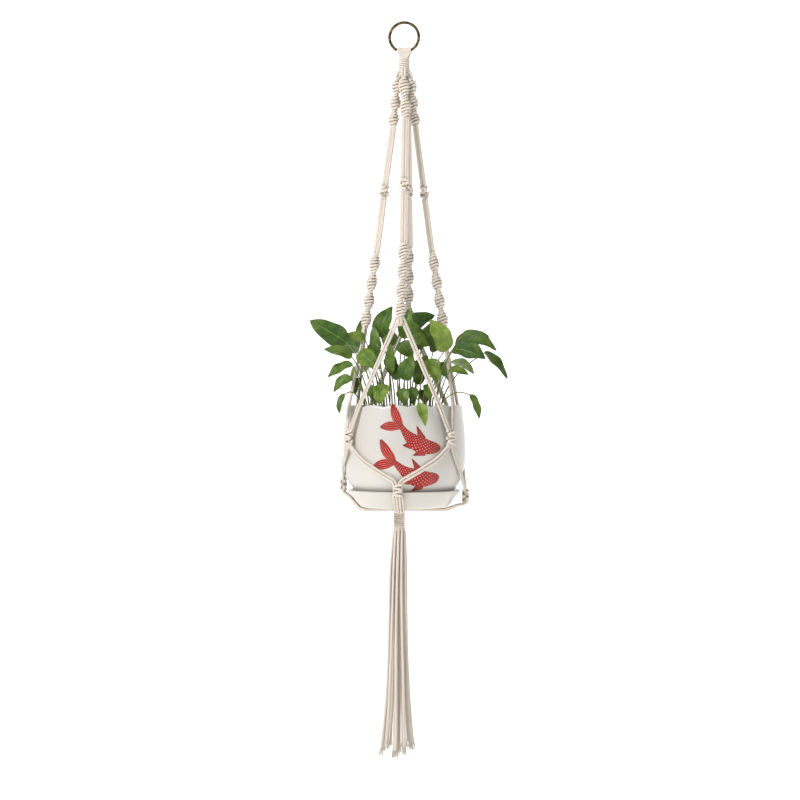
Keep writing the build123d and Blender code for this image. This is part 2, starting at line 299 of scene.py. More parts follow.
def smoothLine(points, step=1.2 * mm):
    # Catmull-Rom: each span is a cubic whose end slopes come from its neighbours
    p = np.asarray(points, float)
    p = np.vstack([2 * p[0] - p[1], p, 2 * p[-1] - p[-2]])
    t = np.linspace(0, 1, 32, endpoint=False)[None, :, None]
    a, b, c, d = (p[k:len(p) - 3 + k, None] for k in range(4))
    cubic = (3 * b - a - 3 * c + d) * t ** 3
    spans = 0.5 * (2 * b + (c - a) * t + (2 * a - 5 * b + 4 * c - d) * t ** 2 + cubic)
    return resample(np.vstack([spans.reshape(-1, 3), p[-2]]), step)


def smoothStep(value):
    value = np.clip(value, 0, 1)
    return value * value * (3 - 2 * value)


def loft(rings, along=None, attributes=None, capped=True):
    # rings[n, m] are n closed rings of m points; quads join ring to ring, and a fan closes each end
    n, m = rings.shape[:2]
    index = np.arange(n * m).reshape(n, m)
    beside = np.roll(index, -1, 1)
    quads = np.stack([index[:-1], beside[:-1], beside[1:], index[1:]], -1).reshape(-1, 4)
    v = np.linspace(0, 1, n) if along is None else along
    u = np.arange(m + 1) / m
    v0, u0 = np.meshgrid(v[:-1], u[:-1], indexing="ij")
    v1, u1 = np.meshgrid(v[1:], u[1:], indexing="ij")
    quadUv = np.stack([u0, v0, u1, v0, u1, v1, u0, v1], -1).reshape(-1, 2)
    verts = rings.reshape(-1, 3)
    tris = np.zeros((0, 3), int)
    triUv = np.zeros((0, 2))
    extra = {key: np.broadcast_to(value, (n, m)).ravel() for key, value in (attributes or {}).items()}
    if capped:
        verts = np.vstack([verts, rings[0].mean(0), rings[-1].mean(0)])
        start = np.stack([np.full(m, n * m), beside[0], index[0]], -1)
        end = np.stack([np.full(m, n * m + 1), index[-1], beside[-1]], -1)
        tris = np.vstack([start, end])
        triUv = np.repeat([[0.5, v[0]], [0.5, v[-1]]], 3 * m, 0)
        extra = {key: np.r_[value, value[:m].mean(), value[-m:].mean()] for key, value in extra.items()}
    return {"verts": verts, "quads": quads, "tris": tris, "quadUv": quadUv, "triUv": triUv, "extra": extra}


def makePiece(name, parts, paint, node):
    # joins the parts into one mesh object, outward faces, with UVs and point attributes
    verts, quads, tris, quadUv, triUv, extra = [], [], [], [], [], {}
    count = 0
    for part in parts:
        v = part["verts"]
        triangles = np.vstack([part["tris"], part["quads"][:, :3], part["quads"][:, [0, 2, 3]]])
        centred = v - v.mean(0)
        a, b, c = (centred[triangles[:, k]] for k in range(3))
        q, t, qUv, tUv = part["quads"], part["tris"], part["quadUv"], part["triUv"]
        if np.einsum("ij,ij->i", a, np.cross(b, c)).sum() < 0:
            q, t = q[:, ::-1], t[:, ::-1]
            qUv = qUv.reshape(-1, 4, 2)[:, ::-1].reshape(-1, 2)
            tUv = tUv.reshape(-1, 3, 2)[:, ::-1].reshape(-1, 2)
        verts.append(v)
        quads.append(q + count)
        tris.append(t + count)
        quadUv.append(qUv)
        triUv.append(tUv)
        for key, value in part["extra"].items():
            extra.setdefault(key, []).append(value)
        count += len(v)
    verts, quads, tris = np.vstack(verts), np.vstack(quads), np.vstack(tris)
    mesh = bpy.data.meshes.new(name)
    mesh.vertices.add(len(verts))
    mesh.vertices.foreach_set("co", verts.astype(np.float32).ravel())
    mesh.loops.add(quads.size + tris.size)
    mesh.loops.foreach_set("vertex_index", np.r_[quads.ravel(), tris.ravel()].astype(np.int32))
    mesh.polygons.add(len(quads) + len(tris))
    starts = np.r_[np.arange(len(quads)) * 4, quads.size + np.arange(len(tris)) * 3]
    mesh.polygons.foreach_set("loop_start", starts.astype(np.int32))
    mesh.update(calc_edges=True)
    layer = mesh.uv_layers.new(name="UVMap")
    layer.data.foreach_set("uv", np.vstack([np.vstack(quadUv), np.vstack(triUv)]).astype(np.float32).ravel())
    for key, values in extra.items():
        attribute = mesh.attributes.new(key, "FLOAT", "POINT")
        attribute.data.foreach_set("value", np.concatenate(values).astype(np.float32))
    mesh.polygons.foreach_set("use_smooth", np.ones(len(mesh.polygons), bool))
    mesh.materials.append(paints[paint])
    mesh.validate()
    piece = bpy.data.objects.new(name, mesh)
    bpy.context.scene.collection.objects.link(piece)
    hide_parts(node)
    return piece


cordLook = {"radius": 1.9, "lay": 11.0, "sides": 12, "grooves": 0.26, "step": 1.3}
cordPlump = 1.04  # makes up for what the flat sides of a ring cut off
coreShade = {"strength": 1.15, "start": 0.55, "width": 0.9}


def cordSurface(path, side, radius=None, look=cordLook, widen=None, core=None):
    # a three-ply cord: each ring lies across the path and swells at three plies, which turn once in each lay;
    # the grooves between the plies carry painted shade, and where a core line is given, the sides that face
    # it get painted shade deep in the knot
    tangent = unit(np.gradient(path, axis=0))
    side = np.broadcast_to(np.asarray(side, float), path.shape)
    across = unit(side - (side * tangent).sum(-1, keepdims=True) * tangent)
    up = np.cross(tangent, across)
    lengths = lengthAlong(path)
    around = np.linspace(0, 2 * np.pi, look["sides"], endpoint=False)
    ply = np.abs(np.cos(1.5 * around))
    angle = around[None] + 2 * np.pi * lengths[:, None] / (look["lay"] * mm)
    size = (radius or look["radius"]) * mm * (1 - look["grooves"] + look["grooves"] * ply)[None] * cordPlump
    size = size * (1 if widen is None else widen[:, None])
    rings = path[:, None] + size[..., None] * (np.cos(angle)[..., None] * across[:, None]
                                               + np.sin(angle)[..., None] * up[:, None])
    # painted shade: the colour darkens in the grooves between the plies
    paintedShade = np.broadcast_to(1 - ply, rings.shape[:2])
    if core is not None:
        # painted shade: the sides that face the core line are darkened further, as shade inside the knot
        facing = (unit(rings - path[:, None]) * unit(path - core)[:, None]).sum(-1)
        shade = smoothStep((coreShade["start"] - facing) / coreShade["width"])
        paintedShade = np.maximum(paintedShade, coreShade["strength"] * shade)
    return loft(rings, lengths / (look["radius"] * 2 * mm), {"paintedShade": paintedShade})


def besideLine(path, shift):  # the line moved along the surface that faces outwards, by millimetres
    tangent = unit(np.gradient(path, axis=0))
    outward = unit(path * np.array([1, 1, 0]))
    return path + unit(np.cross(tangent, outward)) * np.reshape(shift, (-1, 1)) * mm


# stage, camera and light
viewLook = {"turn": 6.0, "distance": 2.4, "aim": (-0.006, 0.0, -0.520), "frameHeight": 1.147,
            "floor": -1.35, "corner": 1.0, "world": (1, 0.965, 0.92, 1), "worldStrength": 0.27}
lightLook = {"key": ((-1.7, -1.9, 0.9), 1.0, 62), "fill": ((1.9, -1.9, -0.3), 1.8, 12),
             "top": ((0.2, -0.2, 1.9), 1.2, 14), "back": ((0.6, 1.7, 0.8), 1.6, 6)}  # place, size, watts


def makeStage():
    aim = Vector(viewLook["aim"])
    turn = math.radians(viewLook["turn"])
    camera = bpy.data.objects.new("camera", bpy.data.cameras.new("camera"))
    camera.location = aim + Vector((math.sin(turn), -math.cos(turn), 0)) * viewLook["distance"]
    camera.rotation_euler = (math.pi / 2, 0, turn)
    camera.data.angle = 2 * math.atan(viewLook["frameHeight"] / 2 / viewLook["distance"])
    camera.data.clip_end = 50
    bpy.context.scene.collection.objects.link(camera)
    bpy.context.scene.camera = camera

    # floor, curved rise and back wall: an L-shaped profile with a round corner, swept across
    corner = np.linspace(0, np.pi / 2, 16)
    depth = np.r_[-4.0, 2.2 + viewLook["corner"] * np.sin(corner), 3.2]
    height = np.r_[0.0, viewLook["corner"] * (1 - np.cos(corner)), 4.5] + viewLook["floor"]
    across = np.linspace(-6, 6, 9)
    points = np.stack(np.broadcast_arrays(across[None], depth[:, None], height[:, None]), -1)
    index = np.arange(points[..., 0].size).reshape(points.shape[:2])
    faces = np.stack([index[:-1, :-1], index[:-1, 1:], index[1:, 1:], index[1:, :-1]], -1).reshape(-1, 4)
    mesh = bpy.data.meshes.new("backdrop")
    mesh.from_pydata(points.reshape(-1, 3).tolist(), [], faces.tolist())
    mesh.polygons.foreach_set("use_smooth", np.ones(len(mesh.polygons), bool))
    mesh.materials.append(paints["stage"])
    backdrop = bpy.data.objects.new("backdrop", mesh)
    bpy.context.scene.collection.objects.link(backdrop)

    for name, (place, size, power) in lightLook.items():
        lamp = bpy.data.lights.new(name, "AREA")
        lamp.shape = "DISK"
        lamp.size = size
        lamp.energy = power
        made = bpy.data.objects.new(name, lamp)
        made.location = place
        made.rotation_euler = (aim - Vector(place)).to_track_quat("-Z", "Y").to_euler()
        bpy.context.scene.collection.objects.link(made)
    world = bpy.data.worlds.new("softWhite")
    world.use_nodes = True
    background = world.node_tree.nodes["Background"]
    background.inputs[0].default_value = viewLook["world"]
    background.inputs[1].default_value = viewLook["worldStrength"]
    bpy.context.scene.world = world
    bpy.context.scene.view_settings.view_transform = "Standard"


makeStage()
print("stage made")


# tassel: sixteen free cords
tasselLook = {"top": -709.4, "x": -7.0, "rings": ((1, 0.0), (5, 0.5), (10, 1.0)),
              "route": ((0, 7.9, 0), (46, 10.6, -1.4), (100, 11.8, -2.0), (157, 13.4, -2.2),
                        (209, 15.2, -2.0), (265, 18.0, -2.3), (315, 23.0, -3.0)),
              "yarns": 9, "frayLength": 18.0, "bodyStop": 10.0, "cord": 2.0, "turn": 6.0, "thicken": 0.24,
              "thickenOver": 170.0, "blend": (-0.703, -0.745)}
yarnLook = {"radius": 0.8, "lay": 5.0, "sides": 6, "grooves": 0.15, "step": 1.8}
tasselRoots = []


def routeCurve(name, points):
    # the cord's own line: a NURBS of order 3 with the route's points as control points
    curve = bpy.data.curves.new(name, "CURVE")
    curve.dimensions = "3D"
    spline = curve.splines.new("NURBS")
    spline.points.add(len(points) - 1)
    spline.points.foreach_set("co", np.c_[points, np.ones(len(points))].ravel())
    spline.order_u = 3
    spline.use_endpoint_u = True
    spline.resolution_u = 16
    holder = bpy.data.objects.new(name, curve)
    bpy.context.scene.collection.objects.link(holder)
    bpy.context.view_layer.update()
    mesh = bpy.data.meshes.new_from_object(holder.evaluated_get(bpy.context.evaluated_depsgraph_get()))
    line = np.empty(len(mesh.vertices) * 3)
    mesh.vertices.foreach_get("co", line)
    bpy.data.meshes.remove(mesh)
    bpy.data.objects.remove(holder)
    bpy.data.curves.remove(curve)
    return line.reshape(-1, 3)


def makeTassel():
    number = 0
    for count, spread in tasselLook["rings"]:
        for index in range(count):
            number += 1
            azimuth = 360 * index / count + 10 * count + tasselLook["turn"]
            points = []
            last = len(tasselLook["route"]) - 1
            for step, (drop, radius, lean) in enumerate(tasselLook["route"]):
                sway = 0.7 * math.sin(number * 1.9 + step * 1.1) if step else 0
                stretch = 1 + 0.02 * math.sin(number * 2.3) if step == last else 1
                shift = np.array([tasselLook["x"] + lean + sway, sway * math.cos(number), 0]) * mm
                points.append(polar(radius * spread, azimuth, tasselLook["top"] - drop * stretch) + shift)
            line = resample(routeCurve(f"route{number}", np.array(points)), 2.0 * mm)
            lengths = lengthAlong(line)
            toTip = lengths[-1] - lengths
            body = line[toTip > tasselLook["bodyStop"] * mm]
            bodyTip = lengthAlong(body)[-1] - lengthAlong(body)
            widen = 1 + tasselLook["thicken"] * smoothStep(1 - bodyTip / (tasselLook["thickenOver"] * mm))
            tasselRoots.append((azimuth, spread))
            path = resample(body, cordLook["step"] * mm)
            widen = np.interp(lengthAlong(path), lengthAlong(body), widen)
            parts = [cordSurface(path, (1, 0.2, 0), tasselLook["cord"], widen=widen)]
            fray = resample(line[toTip < tasselLook["frayLength"] * mm], yarnLook["step"] * mm)
            share = lengthAlong(fray) / lengthAlong(fray)[-1]
            for yarn in range(tasselLook["yarns"]):
                turn = 2 * math.pi * yarn / tasselLook["yarns"] + rng.uniform(-0.4, 0.4)
                swing = turn + share * rng.uniform(0.6, 1.8)
                away = (1.0 + rng.uniform(1.5, 2.4) * share ** 0.7) * mm
                shorter = fray[0] + (fray - fray[0]) * rng.uniform(0.9, 1.0)
                path = shorter + np.stack([np.cos(swing) * away, np.sin(swing) * away, 0 * away], -1)
                parts.append(cordSurface(path, (1, 0.2, 0), look=yarnLook, widen=1 - 0.3 * share))
            name = f"tasselCord{number:02d}"
            piece = makePiece(name, parts, "cotton", f"tassel_cord_{number:02d}")
            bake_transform(piece)


makeTassel()
print("tassel made")


# ring and the loops over it
ringLook = {"radius": 21.0, "bar": 2.1, "weldTurn": 70.0, "weldWidth": 2.2}


def makeRing():
    around = np.linspace(0, 2 * np.pi, 160, endpoint=False)
    section = np.linspace(0, 2 * np.pi, 20, endpoint=False)
    fromWeld = np.degrees(np.angle(np.exp(1j * (around - math.radians(ringLook["weldTurn"])))))
    weld = np.exp(-(fromWeld / ringLook["weldWidth"]) ** 2)
    bar = ringLook["bar"] * (1 - 0.10 * weld)[:, None] * (1 + 0.012 * np.sin(9 * around)[:, None])
    reach = ringLook["radius"] + bar * np.cos(section)
    x, y, z = reach * np.cos(around)[:, None], bar * np.sin(section), reach * np.sin(around)[:, None]
    rings = np.stack([x, y, z], -1) * mm
    part = loft(np.vstack([rings, rings[:1]]), capped=False)
    # the last ring of points is the first one again, so its faces use the first ring's points
    count = around.size * section.size
    part["quads"] = part["quads"] % count
    part["verts"] = part["verts"][:count]
    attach(makePiece("ringBar", [part], "bronze", "ring"), "ring")


makeRing()

loopLook = {"count": 8, "pitch": 6.6, "reach": 4.05, "drop": 0.4, "radius": 1.72}


def makeLoops():
    parts = []
    for index in range(loopLook["count"]):
        turn = math.radians((index - (loopLook["count"] - 1) / 2) * loopLook["pitch"])
        middle = np.array([ringLook["radius"] * math.sin(turn), 0, -ringLook["radius"] * math.cos(turn)])
        inward = np.array([-math.sin(turn), 0, math.cos(turn)])
        bend = np.radians(np.linspace(-20, 200, 9))[:, None]
        arch = middle + loopLook["reach"] * (np.sin(bend) * inward - np.cos(bend) * np.array([0, 1, 0]))
        arch = arch - inward * loopLook["drop"]
        home = 5.0 * math.sin(turn * 2.2)
        front = [[home, -3.6, -40], [home * 1.1, -4.0, -31]]
        back = [[home * 1.1, 4.0, -31], [home, 3.6, -40]]
        path = smoothLine(np.vstack([front, arch, back]) * mm, 0.9 * mm)
        outward = path - (np.array([0, 0, -26]) * mm)
        side = outward * np.array([0.3, 1, 1]) + np.array([0, 0, 1e-5])
        parts.append(cordSurface(path, side, loopLook["radius"]))
    piece = makePiece("ringLoops", parts, "cotton", "ring_loops")
    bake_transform(piece)


makeLoops()


# gathering wraps
wrapLook = {"topSpan": (-26.8, -57.0), "topRadius": 7.8, "bottomSpan": (-680.5, -708.6), "bottomRadius": 8.2,
            "pitch": 3.2, "cord": 1.72, "bottomX": -7.0}


def wrapParts(x, span, radius):
    turns = (span[0] - span[1] - 2 * wrapLook["cord"]) / wrapLook["pitch"]
    around = np.linspace(0, 2 * np.pi * turns, int(turns * 40))
    height = span[0] - wrapLook["cord"] - around / (2 * np.pi) * wrapLook["pitch"]
    reach = radius - wrapLook["cord"] + 0.25 * np.sin(around * 0.37 + radius) + 0.18 * np.sin(around * 2.6)
    path = np.stack([x + reach * np.cos(around), reach * np.sin(around), height], -1) * mm
    # painted shade on the coil's sides that face the wrap's axis
    coil = cordSurface(path, (0, 0, 1), wrapLook["cord"], dict(cordLook, lay=8.0, sides=10),
                       core=path * np.array([0, 0, 1]) + np.array([x * mm, 0, 0]))
    ends = np.array([span[0] - 1.2, span[1] + 1.2])
    profile = np.linspace(0, 2 * np.pi, 32, endpoint=False)
    coreReach = radius - 2.0
    levels = np.linspace(ends[0], ends[1], 6)
    coreX, coreY = x + coreReach * np.cos(profile), coreReach * np.sin(profile)
    core = np.stack(np.broadcast_arrays(coreX, coreY, levels[:, None]), -1) * mm
    # the core is painted at 0.8 of full painted shade, so it shows dark brown through the gaps between turns
    return [coil, loft(core, attributes={"paintedShade": 0.8 * np.ones((1, 1))})]


topParts = wrapParts(0, wrapLook["topSpan"], wrapLook["topRadius"])
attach(makePiece("topWrap", topParts, "cotton", "top_wrap"), "hanger")
bottomParts = wrapParts(wrapLook["bottomX"], wrapLook["bottomSpan"], wrapLook["bottomRadius"])
# the strands that come out under the wrap, one over the start of each free cord
for azimuth, spread in tasselRoots:
    radii = np.array([4.6, 6.2, 7.6, 7.9]) * spread
    path = smoothLine(polar(radii, azimuth, np.array([-698.0, -704.0, -709.0, -713.0])), 1.2 * mm)
    bottomParts.append(cordSurface(path + np.array([wrapLook["bottomX"] * mm, 0, 0]), (1, 0.2, 0), 1.95))
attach(makePiece("bottomWrap", bottomParts, "cotton", "bottom_wrap"), "hanger")
print("ring, loops and wraps made")


# arms: four cords that run from the top wrap through twists and knots; heights and radii are in millimetres
arms = {
    "front": {"azimuth": 0, "upperEnd": -119, "knot": (-206, -224), "lower": (-298, -407), "balls": 2,
              "phase": 90, "roll": 6, "drift": -3.6, "rim": 41, "lowKnot": -645.0},
    "right": {"azimuth": 90, "upperEnd": -128, "knot": (-214, -232), "lower": (-309, -418), "balls": 3,
              "phase": 0, "roll": -42, "drift": 0.0, "rim": 32, "lowKnot": -657.0},
    "back": {"azimuth": 180, "upperEnd": -119, "knot": (-210, -228), "lower": (-298, -407), "balls": 2,
             "phase": 60, "roll": -8, "drift": 2.6, "rim": 41, "lowKnot": -645.0},
    "left": {"azimuth": 270, "upperEnd": -128, "knot": (-212, -230), "lower": (-309, -418), "balls": 3,
             "phase": 20, "roll": -52, "drift": 0.0, "rim": 32, "lowKnot": -641.0}}
armLook = {"top": -58.5, "radii": (3.6, 5.4, 8.8, 16.5, 28.0, 30.0, 40.5, 57.0, 57.9), "corner": 2.1,
           "halfKnot": 5.2, "wide": 5.8, "thick": 4.7, "core": 1.6, "cord": 2.0, "ease": 4.5,
           "row": ((1.9, -0.3), (4.3, 0.5)), "knotWide": 5.9, "knotThick": 3.8, "knotCore": 1.8}


def squareKnot(travel, count, look, worker):
    # travel runs 0 to 1 down the knot; the workers cross the core count times, one in front and one behind
    swing = np.pi * count * travel
    x = look["knotWide"] * np.clip(1.3 * np.cos(swing), -1, 1) * worker
    y = -look["knotThick"] * np.abs(np.sin(swing)) ** 0.8 * worker
    return x, y


def twistKnot(down, ballLength, phase, worker):
    # down is millimetres along the run; a worker circles a core whose broad side turns half round in each
    # ball, and every ball swells in its middle and draws in at its ends
    turn = np.pi * down / ballLength + phase
    swell = 0.36 + 0.70 * np.sin(np.pi * ((down / ballLength) % 1)) ** 0.8
    circle = np.pi * down / armLook["halfKnot"] + (0 if worker > 0 else np.pi)
    x = armLook["wide"] * swell * np.clip(1.25 * np.cos(circle), -1, 1)
    y = armLook["thick"] * swell * np.sin(circle)
    return x * np.cos(turn) - y * np.sin(turn), x * np.sin(turn) + y * np.cos(turn)


def coreTurn(down, ballLength, phase, side):
    turn = np.pi * down / ballLength + phase
    return side * armLook["core"] * np.cos(turn), side * armLook["core"] * np.sin(turn)


def armLine(arm):
    heights = [-46, -52, armLook["top"], arm["upperEnd"], *arm["knot"], *arm["lower"], arm["lower"][1] - 6]
    return smoothLine(polar(np.array(armLook["radii"]), arm["azimuth"], np.array(heights)), 0.8 * mm)


def armCord(line, arm, side, depth):
    # one cord's offset from the arm's line: square corners on straight runs, circling in twists and knots
    height = line[:, 2] / mm
    lengths = lengthAlong(line) / mm
    stops = np.array([0, armLook["top"], arm["upperEnd"], *arm["knot"], *arm["lower"], -1000])
    place = np.interp(-height, -stops, np.arange(len(stops)))
    isWorker = depth > 0
    # between knots the four cords hang side by side in a row, which is rolled a little about the arm's line
    inRow = smoothStep((place - 1) / 0.6) * smoothStep((6 - place) / 0.6)
    rowX, rowY = armLook["row"][int(isWorker)]
    x = side * (armLook["corner"] * (1 - inRow) + rowX * inRow)
    y = depth * armLook["corner"] * (1 - inRow) + rowY * inRow
    phase = math.radians(arm["phase"])
    spans = ((False, armLook["top"], arm["upperEnd"], arm["balls"]), (True, *arm["knot"], 3),
             (False, *arm["lower"], 4))
    for isSquare, top, bottom, count in spans:
        start, stop = np.interp([-top, -bottom], -height, lengths)
        down, total = lengths - start, stop - start
        inside = smoothStep(down / armLook["ease"] + 0.25)
        inside = inside * smoothStep((total - down) / armLook["ease"] + 0.25)
        if not isSquare:
            newX, newY = (twistKnot if isWorker else coreTurn)(down, total / count, phase, side)
        elif isWorker:
            newX, newY = squareKnot(np.clip(down / total, 0, 1), count, armLook, side)
        else:
            newX, newY = side * armLook["knotCore"], 0.0
        x = x + (newX - x) * inside
        y = y + (newY - y) * inside
    roll = math.radians(arm["roll"]) * inRow
    x, y = x * np.cos(roll) - y * np.sin(roll), x * np.sin(roll) + y * np.cos(roll)
    x = x + arm["drift"] * smoothStep((place - 1) / 0.8) * smoothStep((6.2 - place) / 1.2)
    azimuth = math.radians(arm["azimuth"])
    tangent = unit(np.gradient(line, axis=0))
    outward = np.array([math.sin(azimuth), -math.cos(azimuth), 0.0])
    sideways = unit(np.cross(tangent, outward))
    deep = np.cross(sideways, tangent)
    return line + (x[:, None] * sideways - y[:, None] * deep) * mm, outward


def makeArm(name, arm):
    line = armLine(arm)
    upper, knot, lower = arm["upperEnd"], arm["knot"], arm["lower"]
    cuts = {"upper_twist": ((-44, upper - 1.0),), "mid_knot": ((knot[0] + 2.0, knot[1] - 2.0),),
            "lower_twist": ((lower[0] + 2.0, lower[1] - 8),),
            "strands": ((upper + 2.0, knot[0] + 1), (knot[1] - 1, lower[0] + 1))}
    cords = [(depth, *armCord(line, arm, side, depth)) for side in (-1, 1) for depth in (-1, 1)]
    for key, spans in cuts.items():
        knotted = key != "strands"
        look = dict(cordLook, sides=10, step=1.0) if knotted else cordLook
        parts = []
        for depth, path, outward in cords:
            height = path[:, 2] / mm
            for top, bottom in spans:
                run = resample(path[(height <= top) & (height >= bottom)], look["step"] * mm)
                # worker cords in twists and knots get painted shade on the sides that face the arm's line
                core = None
                if knotted and depth > 0:
                    core = [np.interp(-run[:, 2], -line[:, 2], line[:, axis]) for axis in range(3)]
                    core = np.stack(core, -1) - 0.8 * mm * outward
                side = unit(outward + np.array([0.2, 0.1, 0.35]))
                parts.append(cordSurface(run, side, armLook["cord"], look, core=core))
        piece = makePiece(name + key.title().replace("_", ""), parts, "cotton", f"{name}_{key}")
        tuple(polar(9.0, arm["azimuth"], -60.0))
        tuple(polar(57.0, arm["azimuth"], lower[1] - 4))
        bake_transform(piece)


for armName, arm in arms.items():
    makeArm(armName, arm)
print("arms made")


# the net: legs and knots round the pot
potLook = {"outer": ((54, -668.7), (62, -660), (67.5, -654), (73.5, -646), (80, -635), (86, -616), (88, -597),
                     (87.2, -570), (84.8, -545), (83.2, -527)),
           "inner": ((50, -662), (61, -652), (68.5, -642), (75, -631), (81, -614), (83, -597), (82.2, -570),
                     (79.8, -545), (78.6, -527)), "lobes": 15, "lobeDrop": 3.0}
netLook = {"knots": {"front_right": 49, "back_right": 131, "back_left": 229, "front_left": 311},
           "knotRadius": 95.2, "knotSpan": (-563.0, -583.0), "crossings": 4, "knotWide": 5.2,
           "knotThick": 3.5, "knotCore": 1.8, "rimBend": (87.2, -530.0), "lowRadius": 88.0, "lowHalf": 9.0,
           "pair": 1.95, "pairTurn": 2.5}
neighbours = {"front": ("front_left", "front_right"), "right": ("front_right", "back_right"),
              "back": ("back_right", "back_left"), "left": ("back_left", "front_left")}


def potRadius(height):
    profile = np.array(potLook["outer"])
    return np.interp(height, profile[:, 1], profile[:, 0])


def cordPair(points):  # two cords side by side along a smooth line
    middle = smoothLine(np.array(points), cordLook["step"] * mm)
    paths = [besideLine(middle, shift) for shift in (-netLook["pair"], netLook["pair"])]
    return [cordSurface(path, unit(path * np.array([1, 1, 0]))) for path in paths]


def makeUpperLegs(name, arm):
    azimuth, low = arm["azimuth"], arm["lower"][1]
    parts = []
    for side, knot in zip((-1, 1), neighbours[name]):
        start = polar(57.0, azimuth + side * 4.2, low - 1.2)
        rim = polar(netLook["rimBend"][0], azimuth + arm["rim"] * side, netLook["rimBend"][1])
        end = polar(netLook["knotRadius"], netLook["knots"][knot] - side * netLook["pairTurn"],
                    netLook["knotSpan"][0] + 1.0)
        parts += cordPair([polar(56.0, azimuth + side * 1.6, low + 7),
                           polar(56.6, azimuth + side * 2.4, low + 3),
                           *(start + (rim - start) * share for share in (0.06, 0.35, 0.68, 0.93)),
                           *(rim + (end - rim) * share for share in (0.12, 0.5)), end,
                           end + np.array([0, 0, -2]) * mm])
    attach(makePiece(f"{name}UpperLegs", parts, "cotton", f"{name}_upper_legs"), f"{name}_legs")


def makeKnot(name, node, radius, azimuth, top, bottom):
    # four cords down a short square knot: two straight in the middle, two crossing round them
    heights = np.linspace(top + 2.5, bottom - 2.5, 90)
    travel = np.clip((top - heights) / (top - bottom), 0, 1)
    blendIn = smoothStep((top - heights) / 3.0 + 0.4) * smoothStep((heights - bottom) / 3.0 + 0.4)
    middle = polar(radius, azimuth, heights)
    turn = math.radians(azimuth)
    outward = np.array([math.sin(turn), -math.cos(turn), 0.0])
    sideways = np.array([math.cos(turn), math.sin(turn), 0.0])
    parts = []
    for side in (-1, 1):
        for isWorker in (False, True):
            restX = side * (6.05 if isWorker else 2.15)
            knotX, knotY = side * netLook["knotCore"], 0.0
            if isWorker:
                knotX, knotY = squareKnot(travel, netLook["crossings"], netLook, side)
            x = restX + (knotX - restX) * blendIn
            y = knotY * blendIn
            run = resample(middle + (x[:, None] * sideways - y[:, None] * outward) * mm, 0.9 * mm)
            # the crossing cords get painted shade on the sides that face the knot's core
            parts.append(cordSurface(run, unit(outward + np.array([0.1, 0.1, 0.3])),
                                     core=polar(radius - 1.0, azimuth, run[:, 2] / mm) if isWorker else None))
    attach(makePiece(name, parts, "cotton", node), "hanger")


def makeLowerLegs(name, arm):
    azimuth = arm["azimuth"]
    knotBottom = netLook["knotSpan"][1]
    endHeight = arm["lowKnot"] + netLook["lowHalf"] + 4
    parts = []
    for side, knot in zip((-1, 1), neighbours[name]):
        startAzimuth = netLook["knots"][knot] - side * netLook["pairTurn"]
        span = (startAzimuth - azimuth) * side % 360
        points = [polar(netLook["knotRadius"], startAzimuth, knotBottom + 4),
                  polar(netLook["knotRadius"], startAzimuth, knotBottom - 2.2)]
        for share in (0.78, 0.52, 0.27, 4.4 / span):
            fall = (1 - share) / (1 - 4.4 / span)
            height = -590 + (endHeight + 590) * fall ** 0.9
            radius = potRadius(height) + 1.75 + 2.0
            radius = max(radius, 84.5 + 3.0 * fall) if share < 0.3 else radius
            points.append(polar(radius, azimuth + side * span * share, height))
        parts += cordPair([*points, polar(netLook["lowRadius"], azimuth + side * 2.0, endHeight - 7)])
    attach(makePiece(f"{name}LowerLegs", parts, "cotton", f"{name}_lower_legs"), "hanger")


def makeGather():
    parts = []
    center = np.array([wrapLook["bottomX"], 0, 0]) * mm
    outer = netLook["lowRadius"] - 1
    for arm in arms.values():
        azimuth = arm["azimuth"]
        bottom = arm["lowKnot"] - netLook["lowHalf"]
        for index in range(4):
            offset = (index - 1.5) * 3.9
            spread = azimuth + (index - 1.5) * 22.5
            # radius, radians away from the arm's azimuth, height
            saucerSide = ((outer + 0.5, offset * 0.9 / outer, bottom + 3),
                          (outer, offset / outer, bottom - 2.1),
                          (outer * 0.6 + 62.6 * 0.4, offset / 80, bottom * 0.6 - 676 * 0.4),
                          (65.0, offset / 65, -674.2), (57.0, offset / 60, -676.4))
            points = [polar(radius, azimuth + math.degrees(turn), height)
                      for radius, turn, height in saucerSide]
            points.append(polar(34.0, azimuth + math.degrees(offset * 0.8 / 34), -676.6) + center * 0.5)
            points += [polar(radius, spread, height) + center
                       for radius, height in ((10.6, -677.0), (6.0, -680.0), (4.6, -686.0))]
            path = smoothLine(np.array(points), cordLook["step"] * mm)
            # the two middle cords of each four ride a little outside the others
            fromAxis = np.hypot(path[:, 0], path[:, 1]) / mm
            apart = np.clip((lengthAlong(path) / mm - 8) / 12, 0, 1) * (np.clip((fromAxis - 16) / 14, 0, 1))
            down = unit(np.array([0.0, 0.0, -1.0]) + 0.8 * unit(path * np.array([1, 1, 0])))
            path = path + (1.5 if index in (1, 2) else -0.3) * mm * apart[:, None] * down
            turn = math.radians(azimuth)
            parts.append(cordSurface(path, (math.cos(turn), math.sin(turn), 0.0)))
    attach(makePiece("gatherStrands", parts, "cotton", "gather_strands"), "hanger")


for armName, arm in arms.items():
    makeUpperLegs(armName, arm)
    makeLowerLegs(armName, arm)
    makeKnot(f"{armName}LowKnot", f"{armName}_low_knot", netLook["lowRadius"], arm["azimuth"],
             arm["lowKnot"] + netLook["lowHalf"], arm["lowKnot"] - netLook["lowHalf"])
for knotName, knotAzimuth in netLook["knots"].items():
    makeKnot(f"{knotName}Knot", f"{knotName}_knot", netLook["knotRadius"], knotAzimuth, *netLook["knotSpan"])
makeGather()
print("net made")


